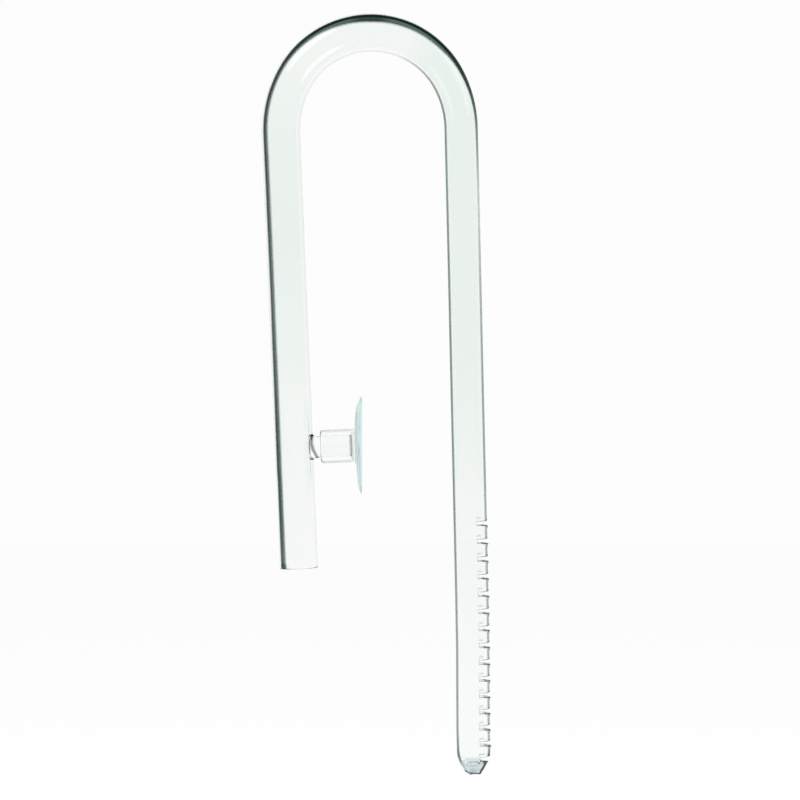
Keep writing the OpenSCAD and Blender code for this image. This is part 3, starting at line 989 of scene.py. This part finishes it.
def cup_skin(sizes, material):
    """The soft cup as one closed skin: dish, sealing ring, lip, dome, collar and bore."""
    skin = Skin()
    side = Vector((0.0, 1.0, 0.0))
    upright = Vector((1.0, 0.0, 0.0))
    turns = [2 * math.pi * i / 96 for i in range(96)]
    disc_r, collar_r, bore_r = sizes.disc_d / 2, sizes.collar_d / 2, sizes.bore_d / 2
    rows = []

    def row(radius, reach, tilt, **marks):
        axis = (upright * (1 - tilt) + PEG_AXIS * tilt).normalized()
        rise = axis.cross(side)
        rows.append(
            skin.ring([radius * (math.cos(t) * side + math.sin(t) * rise) - axis * reach for t in turns], **marks)
        )

    bare = {"edge_depth": 0.0}
    disc = {**bare, "melt": 0.8}
    seal_r = disc_r - sizes.seal_w
    for k in range(1, 9):
        part = k / 8
        row(seal_r * part, sizes.dish * (1 - part * part), 0.0, **disc)
    row(disc_r - sizes.seal_w / 2, 0.0, 0.0, **disc)
    for sine, cosine in arc(8, math.pi):
        radius = disc_r - sizes.lip / 2 * (1 - sine)
        # The lip's rounding gets a little painted shade.
        row(radius, sizes.lip / 2 * (1 - cosine), 0.0, edge_depth=0.3, ink=0.12, melt=0.8)
    fillet = sizes.root_fillet
    root_r = collar_r + fillet

    def back(radius):
        return sizes.lip + (sizes.dome - sizes.lip) * (1 - (radius / disc_r) ** sizes.fullness)

    # Painted shade on the front half of the disc's back (towards -y): two dark strokes, and a dark ring at
    # painted_ring_r all round.
    toward_front = np.maximum(0.0, -np.cos(turns))
    upper_stroke = 0.45 * toward_front * bell(np.sin(turns), 0.55, 0.20)
    lower_stroke = 0.50 * toward_front * bell(np.sin(turns), -0.15, 0.16)
    upper_r, lower_r, stroke_w = root_r + 0.0004, 0.0155, 0.0006
    for k in range(1, 22):
        part = 1 - k / 22
        radius = root_r + (disc_r - sizes.lip / 2 - root_r) * part
        painted_ring = 0.35 * bell(radius, sizes.painted_ring_r, 0.0005)
        stroke = lower_stroke * bell(radius, lower_r, stroke_w) + upper_stroke * bell(radius, upper_r, stroke_w)
        row(radius, back(radius), smooth_step(1 - part, 0.0, 0.7), ink=painted_ring + stroke, **disc)
    root = back(root_r)
    for sine, cosine in arc(6):
        row(collar_r + fillet * (1 - sine), root + fillet * (1 - cosine), 1.0, **bare)
    top = sizes.collar_len - sizes.collar_edge
    for part in (0.1, 0.3, 0.5, 0.75):
        row(collar_r, root + fillet + (top - root - fillet) * part, 1.0, edge_from=0.40, edge_to=0.97, edge_depth=0.28)
    for sine, cosine in arc(8):
        radius = collar_r - sizes.collar_edge * (1 - cosine)
        row(radius, top + sizes.collar_edge * sine, 1.0, edge_from=0.42, edge_to=0.97, edge_depth=0.32)
    mouth = corner = 0.0003
    for sine, cosine in arc(4):
        reach = sizes.collar_len - mouth * (1 - cosine)
        row(bore_r + mouth * (1 - sine), reach, 1.0, edge_from=0.6, edge_to=0.95, edge_depth=0.2)
    for part in (0.75, 0.5, 0.25):
        reach = sizes.bore_floor + (sizes.collar_len - sizes.bore_floor) * part
        row(bore_r, reach, 1.0, **bare)
    for sine, cosine in arc(4):
        row(bore_r - corner * (1 - cosine), sizes.bore_floor + corner * (1 - sine), 1.0, **bare)
    # The bore's floor gets a little painted shade.
    for part in (0.66, 0.33):
        row(bore_r * part, sizes.bore_floor, 1.0, ink=0.05, **bare)
    skin.join_all(rows)
    skin.cap(rows[0], -upright * sizes.dish, **disc)
    skin.cap(rows[-1], -PEG_AXIS * sizes.bore_floor, **bare)
    return skin.build("suction_cup_soft", material)


# Operators


class MakeGlassPipe(bpy.types.Operator):
    """Blows the pipe in one piece: legs, bend, saw-cut strainer, sealed tip and peg"""

    bl_idname = "intake_pipe.glass_pipe"
    bl_label = "Glass Pipe"

    def execute(self, context):
        settings = context.scene.intake_pipe
        material = glass_material(settings.look)
        shape = PipeSkin(settings.pipe)
        piece = shape.build("glass_pipe_blown", material)
        blank_skin, blank = peg_skin(settings.pipe, material)
        weld(piece, shape.skin, blank, blank_skin)
        smooth_but_for_creases(piece.data, math.radians(50))
        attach(piece, "glass_pipe")
        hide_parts(*GLASS_NODES)
        return {"FINISHED"}


class MakeSuctionCup(bpy.types.Operator):
    """Moulds the soft suction cup with its collar for the peg"""

    bl_idname = "intake_pipe.suction_cup"
    bl_label = "Suction Cup"

    def execute(self, context):
        settings = context.scene.intake_pipe
        piece = cup_skin(settings.cup, plastic_material(settings.look))
        smooth_but_for_creases(piece.data, math.radians(60))
        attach(piece, "suction_cup")
        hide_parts("suction_cup")
        return {"FINISHED"}


class MakeStudio(bpy.types.Operator):
    """Sets up the pale floor, the soft light and the camera"""

    bl_idname = "intake_pipe.studio"
    bl_label = "Studio"

    def execute(self, context):
        scene = context.scene
        look = scene.intake_pipe.look
        self.add_camera(scene)
        self.add_floor(look)
        for lamp in LAMPS:
            self.add_lamp(*lamp)
        self.set_world(scene, look)
        scene.view_settings.view_transform = "Standard"
        return {"FINISHED"}

    def add_camera(self, scene):
        camera = bpy.data.cameras.new("camera")
        camera.lens = CAMERA_LENS
        scene.camera = add_object("camera", camera)
        scene.camera.location = CAMERA_AT
        scene.camera.rotation_euler = (math.pi / 2, 0.0, 0.0)

    def add_floor(self, look):
        material = bpy.data.materials.new("studio_floor")
        shader = Shader(material)
        grain = shader.noise(40.0, detail=3.0)
        dull = matt(shader, shader.mix(grain * 0.2, rgba(look.floor), rgba(look.floor_grain)))
        glow = shader.add("ShaderNodeEmission", inputs={"Color": rgba(look.studio), "Strength": 1.0})
        shader.finish(shader.layer(seen_directly(shader) * 0.65, dull, glow))
        half, level = FLOOR_HALF, CAD_BOX[0].z - FLOOR_DROP
        corners = [(-half, -half, level), (half, -half, level), (half, half, level), (-half, half, level)]
        mesh = bpy.data.meshes.new("studio_floor")
        mesh.from_pydata(corners, [], [(0, 1, 2, 3)])
        mesh.materials.append(material)
        add_object("studio_floor", mesh)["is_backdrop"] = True

    def add_lamp(self, name, place, size, power):
        lamp = bpy.data.lights.new(name, "AREA")
        lamp.shape = "DISK"
        lamp.size = size
        lamp.energy = power
        holder = add_object(name, lamp)
        holder.location = place
        aim = (CAD_BOX[0] + CAD_BOX[1]) / 2 - place
        holder.rotation_euler = aim.to_track_quat("-Z", "Y").to_euler()

    def set_world(self, scene, look):
        world = bpy.data.worlds.new("studio")
        scene.world = world
        shader = Shader(world)
        strength = 0.95 + seen_directly(shader) * 0.03
        sky = shader.add("ShaderNodeBackground", inputs={"Color": rgba(look.studio), "Strength": strength})
        shader.finish(sky, "ShaderNodeOutputWorld")


class IntakePipePanel(bpy.types.Panel):
    """Lists the pieces and their sizes"""

    bl_idname = "VIEW3D_PT_intake_pipe"
    bl_label = "Glass Intake Pipe"
    bl_space_type = "VIEW_3D"
    bl_region_type = "UI"
    bl_category = "Intake Pipe"

    def draw(self, context):
        settings = context.scene.intake_pipe
        for maker in MAKERS:
            self.layout.operator(maker.bl_idname)
        for title, group in (("Pipe", settings.pipe), ("Suction cup", settings.cup), ("Look", settings.look)):
            box = self.layout.box()
            box.label(text=title)
            for name in group.__annotations__:
                box.prop(group, name)


MAKERS = (MakeStudio, MakeGlassPipe, MakeSuctionCup)
CLASSES = (PipeSizes, CupSizes, LookColours, IntakePipeSettings, *MAKERS, IntakePipePanel)


def register():
    for kind in CLASSES:
        bpy.utils.register_class(kind)
    bpy.types.Scene.intake_pipe = bpy.props.PointerProperty(type=IntakePipeSettings)


def unregister():
    del bpy.types.Scene.intake_pipe
    for kind in reversed(CLASSES):
        bpy.utils.unregister_class(kind)


def main():
    register()
    for maker in MAKERS:
        getattr(bpy.ops.intake_pipe, maker.bl_idname.split(".")[1])()
    boxes = {"cad_box": CAD_BOX, "visual_box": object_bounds()}
    {name: [list(corner) for corner in box] for name, box in boxes.items()}


if __name__ == "__main__":
    main()
